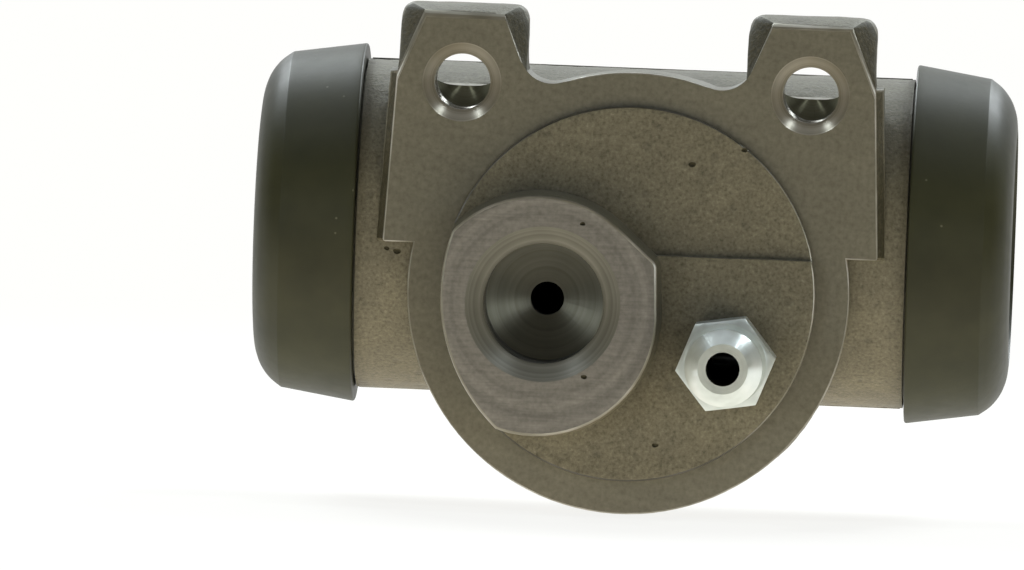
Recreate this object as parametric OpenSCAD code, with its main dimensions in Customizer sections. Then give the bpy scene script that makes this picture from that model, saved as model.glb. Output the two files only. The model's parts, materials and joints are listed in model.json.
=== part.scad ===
// Drum-brake wheel cylinder: a cast housing with two opposed pistons, their seals and boots, and a bleed screw.
// X runs along the bore, Y runs back from the mounting face and Z is up.
// The origin is the centre of the pilot, on the mounting face.

/* [Barrel] */
// Bore diameter
bore_d = 22.2; // [21:0.1:23]
// Outside diameter of the cast barrel
barrel_od = 30.4; // [29.6:0.1:33]
// Length of the barrel between its machined ends
barrel_len = 61.5; // [58:0.5:68]
// Bevel at each mouth of the bore
mouth_bevel = 0.6; // [0.2:0.1:1]
// Diameter of the turned end that carries a dust boot
spigot_d = 28.6; // [27:0.1:29]
// Length of the turned end
spigot_len = 5.5; // [5:0.1:7]
// Distance from the turned end's shoulder to the groove for the boot's bead
groove_offset = 1.2; // [0.8:0.1:1.8]
// Width of that groove
groove_w = 2; // [1.4:0.1:2.4]
// Depth of that groove
groove_depth = 0.8; // [0.4:0.1:1.1]

/* [Flange] */
// How far the mounting face stands proud of the barrel
face_stand = 1.1; // [0.6:0.1:3]
// Height of the bore axis above the pilot's centre
axis_rise = 4.8; // [3.5:0.05:6]
// Diameter of the round flange
disc_d = 40.6; // [38:0.2:44]
// Thickness of the round flange
disc_t = 9; // [8:0.1:10]
// Rounding of the round flange's back edge
disc_round = 1.2; // [0.6:0.1:2]
// Radius of the casting fillet between flange and barrel
flange_fillet = 3; // [2:0.1:4]
// Width across the lower ends of the shoulders
shoulder_w = 45.4; // [44.4:0.2:48]
// Height of the lower ends of the shoulders above the pilot's centre
shoulder_low = 3.9; // [2:0.1:8]
// Width of the cast bevel beside the machined face of a shoulder
shoulder_bevel = 0.7; // [0.4:0.1:1]
// Depth of that bevel
shoulder_bevel_depth = 1.2; // [0.6:0.1:2]

/* [Ears] */
// Spacing of the two mount holes
hole_spacing = 32; // [31:0.1:33]
// Height of the mount holes above the pilot's centre
hole_rise = 18.8; // [18:0.1:20]
// Tapping size of the mount holes (M6)
mount_hole_d = 5.1; // [4.2:0.1:5.6]
// Diameter of the countersink at each mount hole
mount_sink_d = 7.2; // [6.6:0.1:8]
// Depth of the mount holes to the shoulder of the drill point
mount_hole_depth = 7.5; // [6.5:0.1:8.5]
// Width of an ear
ear_w = 11.9; // [11:0.1:13]
// Height of an ear above its mount hole
ear_over = 7.2; // [6:0.1:8]
// Thickness of an ear
ear_t = 7; // [6:0.1:8]
// Radius of an ear's top corners
ear_corner_r = 1.5; // [1:0.1:3]
// Width of the milled pad at the top of an ear
pad_top_w = 7.4; // [6.6:0.1:8.4]
// Distance from an ear's top down to the top of its milled pad
pad_drop = 0.9; // [0.4:0.1:1.6]
// Height above the mount hole at which the pad has the ear's full width
pad_full_rise = 0.8; // [0.4:0.1:1.6]
// Depth of the sloped cast faces round the pad
ear_slope_depth = 2.6; // [1.5:0.1:4]
// Radius of the fillet between an ear and the round flange
notch_r = 3; // [2:0.1:4]
// Radius of the casting fillet behind an ear
ear_fillet = 1.6; // [1:0.1:2.4]

/* [Pilot and port boss] */
// Diameter of the turned pilot
pilot_d = 34.4; // [32:0.1:36]
// Height of the pilot above the mounting face
pilot_rise = 0.7; // [0.4:0.1:1.2]
// Height of the platform on the lower part of the pilot
platform_rise = 1.7; // [1.3:0.1:2.5]
// Height of the platform's edge above the pilot's centre
platform_edge = 3.7; // [2:0.1:6]
// Height of the port boss above the mounting face
boss_rise = 6; // [5:0.1:8]
// Radius of the round part of the port boss
boss_r = 11; // [10:0.1:12]
// Draft of the platform's edge and of the boss's outer side, above the pilot
rim_draft = 2; // [1:0.5:4]
// How much wider the boss is at its foot, on each side
boss_draft = 0.4; // [0.2:0.1:1.4]
// Sideways place of the round part of the boss
boss_x = -8.1; // [-9:0.1:-7]
// Height of the round part of the boss
boss_z = -2.1; // [-3:0.1:-1]
// Sideways place of the boss's pointed corner
boss_corner_x = 1.7; // [1:0.1:2.4]
// Height of the boss's pointed corner
boss_corner_z = 2.6; // [1.6:0.1:3.4]
// Radius of that corner
boss_corner_r = 1; // [0.6:0.1:1.6]
// Sideways place of the brake line port
port_x = -7.6; // [-8.2:0.1:-7]
// Height of the brake line port
port_z = -1; // [-2:0.1:0]
// Tapping size of the port (M12 x 1)
port_d = 11; // [9:0.1:11.4]
// Diameter of the countersink at the port
port_sink_d = 14.2; // [13:0.1:15.4]
// Depth of the countersink at the port
port_sink_depth = 1.5; // [0.8:0.1:2]
// Depth of the port to the shoulder of the drill point
port_depth = 8.8; // [7:0.1:9]
// Diameter of the passage from the port into the bore
passage_d = 3.1; // [2:0.1:4]
// Full angle of the drill points
drill_angle = 118; // [110:1:140]

/* [Bleed screw] */
// Sideways place of the bleed screw
bleed_x = 9.35; // [8.5:0.05:10]
// Height of the bleed screw
bleed_z = -5.8; // [-6.6:0.1:-5]
// Diameter of the bleed screw's shank (M7)
shank_d = 6.9; // [6:0.1:7.6]
// Radial clearance of the shank in its hole
shank_fit = 0.05; // [0.02:0.01:0.09]
// Depth of the bleed hole to its conical seat
bleed_depth = 7.8; // [7:0.1:8.2]
// Diameter of the mouth of the conical seat
bleed_seat_d = 5; // [4:0.1:5.6]
// Diameter of the passage from the seat into the bore
bleed_passage_d = 2.2; // [1.4:0.1:2.6]
// Clearance between the screw's point and its seat
seat_gap = 0.05; // [0.02:0.01:0.1]
// Width of the hexagon across its flats
hex_af = 8; // [7:0.1:10]
// Height of the hexagon
hex_h = 5; // [4:0.1:6]
// Space under the hexagon when the screw is seated
hex_stand = 0.8; // [0.3:0.1:2]
// Turn of the hexagon from level
hex_turn = 9; // [0:1:59]
// Length of the hose nipple above the hexagon
nipple_len = 7.6; // [6:0.1:10]
// Diameter of the nipple's barb
barb_d = 7.1; // [6.4:0.1:7.8]
// Length of the cone that leads the hose onto the barb
barb_cone_len = 2; // [1.6:0.1:3.4]
// Length of the straight land behind that cone
barb_land = 0.5; // [0.3:0.1:0.9]
// Diameter of the nipple's end face
nipple_tip_d = 4.6; // [4:0.1:5.4]
// Diameter of the nipple's neck below the barb
nipple_neck_d = 5.4; // [4.6:0.1:6]
// Diameter of the drilled passage in the screw
bleed_bore_d = 3.1; // [2:0.1:3.3]
// Diameter of the cross drilling at the screw's inner end
cross_d = 1.6; // [1:0.1:2]

/* [Pistons] */
// Radial clearance of a piston in the bore
piston_fit = 0.04; // [0.02:0.01:0.08]
// Length of a piston's guided body
piston_body_len = 9.5; // [8:0.1:11]
// Bevel on the ends of the guided body
piston_bevel = 0.5; // [0.2:0.1:1]
// Diameter of the neck that the boot's lip grips
neck_d = 12.4; // [11:0.1:13.4]
// Length of that neck
neck_len = 2.2; // [1.8:0.1:3]
// Diameter of a piston's head
head_d = 15.2; // [14.4:0.1:16]
// Length of a piston's head
head_len = 5.8; // [5.2:0.1:7]
// Distance from the boot's end face to the end of the piston's head
head_inset = 0.4; // [0.2:0.1:1]
// Width of the slot for the brake shoe's web
slot_w = 5.2; // [4.6:0.1:6.4]
// Depth of that slot
slot_depth = 4.8; // [4.4:0.1:5]

/* [Seals and spring] */
// Radial clearance of a cup seal in the bore
cup_fit = 0.04; // [0.02:0.01:0.08]
// Length of a cup seal
cup_len = 6; // [5:0.1:7]
// Thickness of a cup seal's floor
cup_floor = 2.4; // [2:0.1:3]
// Thickness of a cup seal's lip
cup_lip_t = 1.3; // [1:0.1:1.8]
// Sheet thickness of a cup expander
expander_t = 0.6; // [0.4:0.1:0.9]
// Depth of a cup expander
expander_depth = 2.9; // [2.4:0.1:3]
// Clearance of the expander's rim in the cup
expander_gap = 0.2; // [0.1:0.05:0.4]
// Wire diameter of the return spring
wire_d = 1.1; // [0.8:0.1:1.4]
// Outside diameter of the return spring
spring_od = 10.9; // [9:0.1:11.5]
// Number of turns of the return spring
spring_turns = 7; // [5:0.5:9]
// Gap between the spring's end turns and the expanders
spring_gap = 0.05; // [0.02:0.01:0.1]

/* [Dust boots] */
// Diameter of a boot's rim
boot_rim_d = 33.2; // [32:0.1:35]
// Diameter of a boot at the start of its crown
boot_crown_d = 31; // [30.4:0.1:32]
// Diameter of a boot's flat end
boot_face_d = 25.8; // [25:0.1:27]
// Length of a boot from its rim to its end
boot_len = 9.45; // [9:0.05:11]
// Length of a boot's sloped crown
boot_crown_len = 2.45; // [2:0.05:3]
// Gap between a boot's rim and the barrel's shoulder
boot_gap = 0.2; // [0.1:0.05:0.5]
// Wall thickness at a boot's end
boot_wall = 1.5; // [1.2:0.1:1.8]
// Thickness of the dished web between the end and the lip
boot_web_t = 1.1; // [0.8:0.1:1.3]
// Opening of the dished web at a boot's end
boot_mouth_d = 21.8; // [21:0.1:22.4]
// Space between the web and the piston's head
boot_head_gap = 0.8; // [0.5:0.1:1]
// Clearance of the boot's lip and bead in their grooves
boot_fit = 0.08; // [0.03:0.01:0.15]
// Rounding of a boot's rim and crown
boot_round = 0.6; // [0.3:0.1:0.9]

/* [Hidden] */
$fn = 96;
// Overshoot of cutting tools past a face
cut = 1;
// Facets on blended corners
blend_fn = 32;
// Segments of a rounded corner in a turned profile
round_n = 6;
bore_r = bore_d / 2;
barrel_r = barrel_od / 2;
spigot_r = spigot_d / 2;
disc_r = disc_d / 2;
pilot_r = pilot_d / 2;
axis_back = barrel_r + face_stand;
barrel_end = barrel_len / 2;
shoulder_x = barrel_end - spigot_len;
groove_x = shoulder_x + groove_offset;
groove_r = spigot_r - groove_depth;
hole_x = hole_spacing / 2;
ear_top = hole_rise + ear_over;
pad_top = ear_top - pad_drop;
pad_low = hole_rise + pad_full_rise;
ear_in_x = hole_x - ear_w / 2;
ear_out_x = hole_x + ear_w / 2;
// Boot and piston stations along the bore, measured from the middle of the barrel
rim_x = shoulder_x + boot_gap;
face_x = rim_x + boot_len;
crown_x = face_x - boot_crown_len;
piston_end = face_x - head_inset;
head_x = piston_end - head_len;
neck_x = head_x - neck_len;
piston_in = neck_x - piston_body_len;
cup_in = piston_in - cup_len;
cup_seat = piston_in - cup_floor;
spring_end = cup_seat - expander_t - spring_gap;
// Bleed screw levels, measured outwards from the mounting face
hex_level = platform_rise + hex_stand;
hex_top = hex_level + hex_h;
nipple_tip = hex_top + nipple_len;
seat_level = platform_rise - bleed_depth;

// Point at a distance r from c in the direction a
function polar(c, r, a) = [c[0] + r * cos(a), c[1] + r * sin(a)];

// Arc of radius r that rounds the corner b between the directions to a and to c
function rounded(a, b, c, r) =
    let (
        u = (a - b) / norm(a - b),
        v = (c - b) / norm(c - b),
        half = acos(u * v) / 2,
        bisector = (u + v) / norm(u + v),
        centre = b + bisector * r / sin(half),
        start = b + u * r / tan(half) - centre,
        end = b + v * r / tan(half) - centre
    )
    [
        for (i = [0:round_n])
            let (mix = (1 - i / round_n) * start + i / round_n * end)
            centre + mix * r / norm(mix)
    ];

// Outline in X and Z, drawn out from the depth front to the depth back
module slab(front, back) {
    translate([0, back, 0]) rotate([90, 0, 0]) linear_extrude(back - front) children();
}

// Puts a shape turned about Z onto the bore axis, pointing along +X
module on_bore() {
    translate([0, axis_back, axis_rise]) rotate([0, 90, 0]) children();
}

// Puts a shape turned about Z onto the bleed screw's axis, pointing out of the mounting face
module on_bleed() {
    translate([bleed_x, 0, bleed_z]) rotate([90, 0, 0]) children();
}

// The same shape on the left (-1) or right (1) of the barrel's middle
module sided(side) {
    mirror([side < 0 ? 1 : 0, 0, 0]) children();
}

// A drilled hole from the depth front: countersink, straight wall and drill point, along +Y
module drilling(front, d, depth, sink_d, sink_depth) {
    r = d / 2;
    point = r / tan(drill_angle / 2);
    mouth = sink_d / 2 + cut * (sink_d - d) / 2 / sink_depth;
    translate([0, front, 0]) rotate([-90, 0, 0]) rotate_extrude() polygon([
        [0, -cut], [mouth, -cut], [r, sink_depth], [r, depth], [0, depth + point]
    ]);
}

// Barrel with turned ends and bead grooves
module barrel_blank() {
    on_bore() {
        translate([0, 0, -shoulder_x]) cylinder(r = barrel_r, h = 2 * shoulder_x);
        for (side = [0, 1]) mirror([0, 0, side]) rotate_extrude() polygon([
            [0, shoulder_x - cut], [spigot_r, shoulder_x - cut], [spigot_r, groove_x],
            [groove_r, groove_x], [groove_r, groove_x + groove_w], [spigot_r, groove_x + groove_w],
            [spigot_r, barrel_end - mouth_bevel], [spigot_r - mouth_bevel, barrel_end], [0, barrel_end]
        ]);
    }
}

// Bore with a bevel at each mouth
module bore_cut() {
    on_bore() for (side = [0, 1]) mirror([0, 0, side]) rotate_extrude() polygon([
        [0, 0], [bore_r, 0], [bore_r, barrel_end - mouth_bevel],
        [bore_r + mouth_bevel + cut, barrel_end + cut], [0, barrel_end + cut]
    ]);
}

// Casting fillet along X between the barrel and a flat back face at the depth back
// up is 1 above the bore axis and -1 below it
module barrel_fillet(back, r, up) {
    y = back + r - axis_back;
    z = sqrt(pow(barrel_r + r, 2) - y * y);
    rotate([90, 0, 90]) linear_extrude(shoulder_w, center = true)
        translate([axis_back, axis_rise]) scale([1, up]) difference() {
            polygon([
                [back - axis_back - cut, z], [back - axis_back, z], [y, z],
                [y * barrel_r / (barrel_r + r), z * barrel_r / (barrel_r + r)],
                [back - axis_back - cut, 0]
            ]);
            translate([y, z]) circle(r);
        }
}

// Outline of the shoulders that run from the ears down to the bore's height
module shoulder_outline() {
    for (side = [-1, 1]) scale([side, 1]) polygon([
        [0, shoulder_low], [shoulder_w / 2, shoulder_low], [ear_out_x, pad_low],
        [ear_in_x, pad_low], [0, platform_edge + pilot_rise]
    ]);
}

// Outer part of the right shoulder, made wider by the width more
module shoulder_side(more) {
    polygon([
        [hole_x, shoulder_low], [shoulder_w / 2 + more, shoulder_low], [ear_out_x + more, pad_low], [hole_x, pad_low]
    ]);
}

// One shoulder with its cast bevel beside the machined face
module shoulder(side) {
    sided(side) hull() {
        slab(0, ear_t) shoulder_side(0);
        slab(shoulder_bevel_depth, ear_t) shoulder_side(shoulder_bevel);
    }
}

// Concave fillet between an ear's inner edge and the round flange, on the right
module notch_fillet() {
    foot = [ear_in_x, pad_low];
    along = [hole_x - pad_top_w / 2, pad_top] - foot;
    dir = along / norm(along);
    out = [-dir[1], dir[0]];
    base = foot + notch_r * out;
    reach = disc_r + notch_r;
    lift = -(base * dir) + sqrt(pow(base * dir, 2) - base * base + reach * reach);
    centre = base + lift * dir;
    on_disc = centre * disc_r / reach;
    difference() {
        polygon([on_disc, foot + lift * dir, [hole_x, pad_low], on_disc * 0.8]);
        translate(centre) circle(notch_r);
    }
}

// One ear above the shoulders: a block with rounded corners, sloped down to the milled pad in front
module ear(x) {
    hull() translate([x, 0, 0]) {
        slab(ear_slope_depth, ear_t) {
            for (side = [-1, 1])
                translate([side * (ear_w / 2 - ear_corner_r), ear_top - ear_corner_r])
                    circle(ear_corner_r, $fn = blend_fn);
            translate([-ear_w / 2, pad_low - pad_drop]) square([ear_w, pad_drop]);
        }
        slab(0, ear_slope_depth) polygon([
            [-ear_w / 2, pad_low], [-pad_top_w / 2, pad_top], [pad_top_w / 2, pad_top], [ear_w / 2, pad_low]
        ]);
    }
}

// Turned outline that the platform and the boss keep to: the pilot's wall, then a slight draft
module pilot_envelope() {
    top = boss_rise + cut;
    rotate([90, 0, 0]) rotate_extrude() polygon([
        [0, -cut], [pilot_r, -cut], [pilot_r, pilot_rise],
        [pilot_r - (top - pilot_rise) * tan(rim_draft), top], [0, top]
    ]);
}

// Port boss: a drafted teardrop, trimmed to the pilot
module port_boss() {
    intersection() {
        hull() {
            translate([boss_x, 0, boss_z]) rotate([90, 0, 0])
                cylinder(r1 = boss_r + boss_draft, r2 = boss_r, h = boss_rise, $fn = 2 * blend_fn);
            translate([boss_corner_x, 0, boss_corner_z]) rotate([90, 0, 0])
                cylinder(r1 = boss_corner_r + boss_draft, r2 = boss_corner_r, h = boss_rise, $fn = blend_fn);
        }
        pilot_envelope();
    }
}

// Pilot with its raised lower platform
module pilot() {
    slab(-pilot_rise, cut) circle(pilot_r);
    intersection() {
        slab(-platform_rise, 0) translate([-pilot_d, platform_edge - 2 * pilot_d]) square(2 * pilot_d);
        pilot_envelope();
    }
}

// Round flange, shoulders and ears
module flange() {
    rotate([-90, 0, 0]) rotate_extrude() polygon(concat(
        [[0, 0], [disc_r, 0]], rounded([disc_r, 0], [disc_r, disc_t], [0, disc_t], disc_round), [[0, disc_t]]
    ));
    slab(0, ear_t) {
        shoulder_outline();
        for (side = [-1, 1]) scale([side, 1]) notch_fillet();
    }
    for (side = [-1, 1]) {
        shoulder(side);
        ear(side * hole_x);
    }
    intersection() {
        barrel_fillet(disc_t, flange_fillet, -1);
        rotate([-90, 0, 0]) cylinder(r = disc_r - disc_round, h = axis_back);
    }
    intersection() {
        barrel_fillet(ear_t, ear_fillet, 1);
        for (side = [-1, 1]) slab(0, axis_back) translate([side * hole_x - ear_w / 2, 0]) square([ear_w, ear_top]);
    }
}

// Bleed hole with its conical seat and the passage into the bore
module bleed_hole() {
    on_bleed() rotate_extrude() polygon([
        [0, -axis_back], [bleed_passage_d / 2, -axis_back],
        [bleed_passage_d / 2, seat_level - (bleed_seat_d - bleed_passage_d) / 2],
        [bleed_seat_d / 2, seat_level], [shank_d / 2 + shank_fit, seat_level],
        [shank_d / 2 + shank_fit, boss_rise], [0, boss_rise]
    ]);
}

// Cast iron housing, machined on its flange, pilot and boss, then drilled
module housing() {
    color([0.40, 0.39, 0.35]) difference() {
        union() {
            barrel_blank();
            flange();
            pilot();
            port_boss();
        }
        bore_cut();
        for (side = [-1, 1]) translate([side * hole_x, 0, hole_rise])
            drilling(0, mount_hole_d, mount_hole_depth, mount_sink_d, (mount_sink_d - mount_hole_d) / 2);
        translate([port_x, 0, port_z]) {
            drilling(-boss_rise, port_d, port_depth, port_sink_d, port_sink_depth);
            rotate([-90, 0, 0]) cylinder(d = passage_d, h = axis_back);
        }
        bleed_hole();
    }
}

// Turned piston: guided body, neck for the boot's lip, and a slotted head
module piston(side) {
    body_r = bore_r - piston_fit;
    sided(side) difference() {
        on_bore() rotate_extrude() polygon([
            [0, piston_in], [body_r - piston_bevel, piston_in], [body_r, piston_in + piston_bevel],
            [body_r, neck_x - piston_bevel], [body_r - piston_bevel, neck_x], [neck_d / 2, neck_x],
            [neck_d / 2, head_x], [head_d / 2, head_x], [head_d / 2, piston_end - piston_bevel],
            [head_d / 2 - piston_bevel, piston_end], [0, piston_end]
        ]);
        translate([piston_end - slot_depth, axis_back - slot_w / 2, axis_rise - bore_d])
            cube([slot_depth + cut, slot_w, 2 * bore_d]);
    }
}

module left_piston() { color([0.62, 0.62, 0.63]) piston(-1); }
module right_piston() { color([0.62, 0.62, 0.63]) piston(1); }

// Inside radius of the cup's lip at the station x
function cup_inner_r(x) = bore_r - cup_fit - cup_lip_t - (x - cup_in) / (cup_seat - cup_in) * cup_lip_t / 2;

// Rubber cup seal with its lip towards the middle of the bore
module cup_seal(side) {
    lip_r = bore_r - cup_fit;
    sided(side) on_bore() rotate_extrude() polygon([
        [0, piston_in], [lip_r - piston_bevel, piston_in], [lip_r - cup_lip_t / 4, piston_in - piston_bevel],
        [lip_r, cup_in + piston_bevel], [lip_r - piston_bevel, cup_in], [cup_inner_r(cup_in), cup_in],
        [cup_inner_r(cup_seat), cup_seat], [0, cup_seat]
    ]);
}

module left_cup_seal() { color([0.08, 0.08, 0.08]) cup_seal(-1); }
module right_cup_seal() { color([0.08, 0.08, 0.08]) cup_seal(1); }

// Pressed steel dish that holds the cup's lip open and seats the spring
module cup_expander(side) {
    rim = cup_seat - expander_depth;
    rim_r = cup_inner_r(rim) - expander_gap;
    foot_r = spring_od / 2 + 2 * expander_t;
    sided(side) on_bore() rotate_extrude() polygon([
        [wire_d, cup_seat], [foot_r, cup_seat], [rim_r, rim], [rim_r - expander_t, rim],
        [foot_r - expander_t, cup_seat - expander_t], [wire_d, cup_seat - expander_t]
    ]);
}

module left_cup_expander() { color([0.70, 0.68, 0.62]) cup_expander(-1); }
module right_cup_expander() { color([0.70, 0.68, 0.62]) cup_expander(1); }

// Coil spring between the two expanders, with a closed turn at each end
module return_spring() {
    sides = 8;
    per_turn = 20;
    wire_r = wire_d / 2;
    coil_r = spring_od / 2 - wire_r;
    steps = round(spring_turns * per_turn);
    reach = spring_end - wire_r;
    closed = per_turn;
    // Travel along the coil, slow over the closed turns and even between them
    function travel(i) = i <= closed ? i / closed * wire_d
        : i >= steps - closed ? 2 * reach - (steps - i) / closed * wire_d
        : wire_d + (i - closed) / (steps - 2 * closed) * (2 * reach - 2 * wire_d);
    points = [
        for (i = [0:steps], k = [0:sides - 1])
            let (a = 360 * i / per_turn, b = 360 * k / sides, r = coil_r + wire_r * cos(b))
            [r * cos(a), r * sin(a), travel(i) - reach + wire_r * sin(b)]
    ];
    walls = [
        for (i = [0:steps - 1], k = [0:sides - 1])
            let (n = (k + 1) % sides)
            [i * sides + k, i * sides + n, (i + 1) * sides + n, (i + 1) * sides + k]
    ];
    caps = [[for (k = [sides - 1:-1:0]) k], [for (k = [0:sides - 1]) steps * sides + k]];
    color([0.66, 0.67, 0.70]) on_bore() polyhedron(points, concat(walls, caps), convexity = 10);
}

// Rubber boot: a rim with a bead in the barrel's groove, a tapered side, a sloped crown and a dished web
// whose lip sits in the piston's neck
module dust_boot(side) {
    bore = spigot_r + boot_fit;
    bead = groove_r + boot_fit;
    inner_end = face_x - boot_wall;
    lip_in = neck_x + boot_fit * 2;
    lip_out = head_x - boot_fit * 2;
    lip_r = neck_d / 2 + boot_fit;
    web_foot = head_d / 2 + boot_head_gap;
    mouth_r = boot_mouth_d / 2;
    rim = [boot_rim_d / 2, rim_x];
    crown = [boot_crown_d / 2, crown_x];
    face = [boot_face_d / 2, face_x];
    mouth = [mouth_r, face_x];
    foot = [web_foot, lip_out];
    sided(side) on_bore() rotate_extrude() polygon(concat(
        [[bore, rim_x]],
        rounded([bore, rim_x], rim, crown, boot_round),
        rounded(rim, crown, face, boot_round),
        rounded(crown, face, mouth, boot_round),
        rounded(face, mouth, foot, boot_round),
        [foot, [lip_r, lip_out], [lip_r, lip_in], [web_foot + boot_web_t / 4, lip_in]],
        [[mouth_r + boot_web_t, inner_end], [bore - boot_web_t, inner_end], [bore, barrel_end]],
        [
            [bore, groove_x + groove_w - boot_fit], [bead, groove_x + groove_w - boot_fit],
            [bead, groove_x + boot_fit], [bore, groove_x + boot_fit]
        ]
    ));
}

module left_dust_boot() { color([0.13, 0.13, 0.12]) dust_boot(-1); }
module right_dust_boot() { color([0.13, 0.13, 0.12]) dust_boot(1); }

// Plated bleed screw: conical point, shank, hexagon with bevelled corners, and hose nipple
module bleed_screw() {
    shank_r = shank_d / 2;
    seat_r = bleed_seat_d / 2 - seat_gap * 2;
    point_r = bleed_passage_d / 2;
    barb_r = barb_d / 2;
    neck_r = nipple_neck_d / 2;
    barb_level = nipple_tip - barb_cone_len - barb_land;
    bevel = hex_af * 0.06;
    color([0.80, 0.82, 0.85]) on_bleed() difference() {
        union() {
            rotate_extrude() polygon([
                [0, seat_level - (seat_r - point_r)], [point_r, seat_level - (seat_r - point_r)],
                [seat_r, seat_level], [seat_r, seat_level + bevel], [shank_r, seat_level + bevel + shank_r - seat_r],
                [shank_r, hex_level + bevel], [neck_r, hex_level + bevel], [neck_r, barb_level - barb_r + neck_r],
                [barb_r, barb_level], [barb_r, barb_level + barb_land], [nipple_tip_d / 2, nipple_tip], [0, nipple_tip]
            ]);
            intersection() {
                rotate([0, 0, hex_turn]) translate([0, 0, hex_level])
                    cylinder(d = hex_af / cos(30), h = hex_h, $fn = 6);
                rotate_extrude() polygon([
                    [0, hex_level], [hex_af / 2 - bevel / 2, hex_level], [hex_af, hex_level + hex_af / 2 * tan(30)],
                    [hex_af, hex_top - hex_af / 2 * tan(30)], [hex_af / 2 - bevel / 2, hex_top], [0, hex_top]
                ]);
            }
        }
        translate([0, 0, seat_level + cross_d]) cylinder(d = bleed_bore_d, h = nipple_tip - seat_level);
        translate([0, 0, seat_level + bevel + cross_d]) rotate([0, 90, 0])
            cylinder(d = cross_d, h = 2 * shank_d, center = true);
    }
}

housing();
left_piston();
right_piston();
left_cup_seal();
right_cup_seal();
left_cup_expander();
right_cup_expander();
return_spring();
left_dust_boot();
right_dust_boot();
bleed_screw();
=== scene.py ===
import json
import math

import bmesh
import bpy
from mathutils import Matrix, Vector, noise


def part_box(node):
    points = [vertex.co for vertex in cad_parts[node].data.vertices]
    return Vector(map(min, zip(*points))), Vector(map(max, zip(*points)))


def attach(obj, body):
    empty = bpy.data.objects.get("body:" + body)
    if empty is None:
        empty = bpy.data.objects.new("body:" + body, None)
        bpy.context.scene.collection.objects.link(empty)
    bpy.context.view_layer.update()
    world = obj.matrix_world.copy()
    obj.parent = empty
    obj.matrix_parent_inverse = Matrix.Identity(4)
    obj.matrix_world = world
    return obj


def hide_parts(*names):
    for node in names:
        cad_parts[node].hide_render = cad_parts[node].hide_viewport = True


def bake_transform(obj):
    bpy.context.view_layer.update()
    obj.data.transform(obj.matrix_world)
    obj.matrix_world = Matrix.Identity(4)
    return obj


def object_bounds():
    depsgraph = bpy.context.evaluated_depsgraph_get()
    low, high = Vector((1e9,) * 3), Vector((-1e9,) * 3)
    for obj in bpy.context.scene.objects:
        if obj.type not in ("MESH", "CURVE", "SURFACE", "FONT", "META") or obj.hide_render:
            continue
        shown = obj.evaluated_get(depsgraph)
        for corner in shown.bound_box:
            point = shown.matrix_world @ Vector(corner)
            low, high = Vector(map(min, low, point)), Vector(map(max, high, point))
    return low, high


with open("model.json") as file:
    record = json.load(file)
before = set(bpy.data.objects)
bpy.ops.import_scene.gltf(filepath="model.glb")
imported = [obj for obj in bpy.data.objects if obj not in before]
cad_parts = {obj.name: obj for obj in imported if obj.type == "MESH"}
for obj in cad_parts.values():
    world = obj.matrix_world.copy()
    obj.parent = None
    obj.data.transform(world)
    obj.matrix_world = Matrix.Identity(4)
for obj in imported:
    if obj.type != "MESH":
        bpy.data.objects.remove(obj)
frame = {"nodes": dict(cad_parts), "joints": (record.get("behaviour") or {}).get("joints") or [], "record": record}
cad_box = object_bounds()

# Camera: a long lens in front of the mounting face, a little above it and to its right, with a slight roll.
# Its aim puts the centre of the pilot at its own place in the picture.
mm = 0.001
picture_w = 1024
picture_h = 570
pilot_pixel = (628.2, 293.5)
pixels_per_metre = 10.9 / mm
camera_distance = 1.9
azimuth = math.radians(2.2)
elevation = math.radians(2.9)
roll = math.radians(2.2)
to_camera = Vector((
    math.sin(azimuth) * math.cos(elevation),
    -math.cos(azimuth) * math.cos(elevation),
    math.sin(elevation),
))
level_right = Vector((math.cos(azimuth), math.sin(azimuth), 0))
level_up = to_camera.cross(level_right)
camera_right = level_right * math.cos(roll) + level_up * math.sin(roll)
camera_up = level_up * math.cos(roll) - level_right * math.sin(roll)
aim = (
    camera_right * (picture_w / 2 - pilot_pixel[0]) + camera_up * (pilot_pixel[1] - picture_h / 2)
) / pixels_per_metre
eye = aim + to_camera * camera_distance
focal_pixels = pixels_per_metre * camera_distance

camera_data = bpy.data.cameras.new("camera")
camera_data.sensor_width = 36
camera_data.lens = focal_pixels * camera_data.sensor_width / picture_w
camera_data.clip_end = 20
camera = bpy.data.objects.new("camera", camera_data)
camera.matrix_world = Matrix((
    (camera_right.x, camera_up.x, to_camera.x, eye.x),
    (camera_right.y, camera_up.y, to_camera.y, eye.y),
    (camera_right.z, camera_up.z, to_camera.z, eye.z),
    (0, 0, 0, 1),
))
bpy.context.scene.collection.objects.link(camera)
bpy.context.scene.camera = camera
bpy.context.scene.view_settings.view_transform = "Standard"


def point_at_pixel(column, row, depth):
    """The point of the plane y = depth that the camera sees at a pixel"""
    ray = (
        camera_right * (column - picture_w / 2)
        + camera_up * (picture_h / 2 - row)
        - to_camera * focal_pixels
    )
    return eye + ray * ((depth - eye.y) / ray.y)


# Studio: a white floor just under the flange, a soft lamp behind on either side, and a dim room in front.
# The floor is white to the eye and in reflections, and a share of its own shading keeps the shadow.
# Most light on the front comes up from it, with a small lamp above and one in front on either side.
def add_node(tree, kind, sockets=None, settings=None):
    """A node of a tree; a socket is given a number, a colour or another node's output"""
    made = tree.nodes.new(kind)
    for name, value in (settings or {}).items():
        setattr(made, name, value)
    for key, value in (sockets or {}).items():
        if isinstance(value, bpy.types.NodeSocket):
            tree.links.new(value, made.inputs[key])
        else:
            made.inputs[key].default_value = value
    return made


def new_material(name):
    """An empty node material and its tree"""
    material = bpy.data.materials.new(name)
    material.use_nodes = True
    material.node_tree.nodes.clear()
    return material, material.node_tree


def math_node(tree, operation, first, second=0.0, clamp=False):
    """The output of one Math node"""
    settings = {"operation": operation, "use_clamp": clamp}
    return add_node(tree, "ShaderNodeMath", {0: first, 1: second}, settings).outputs[0]


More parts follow.
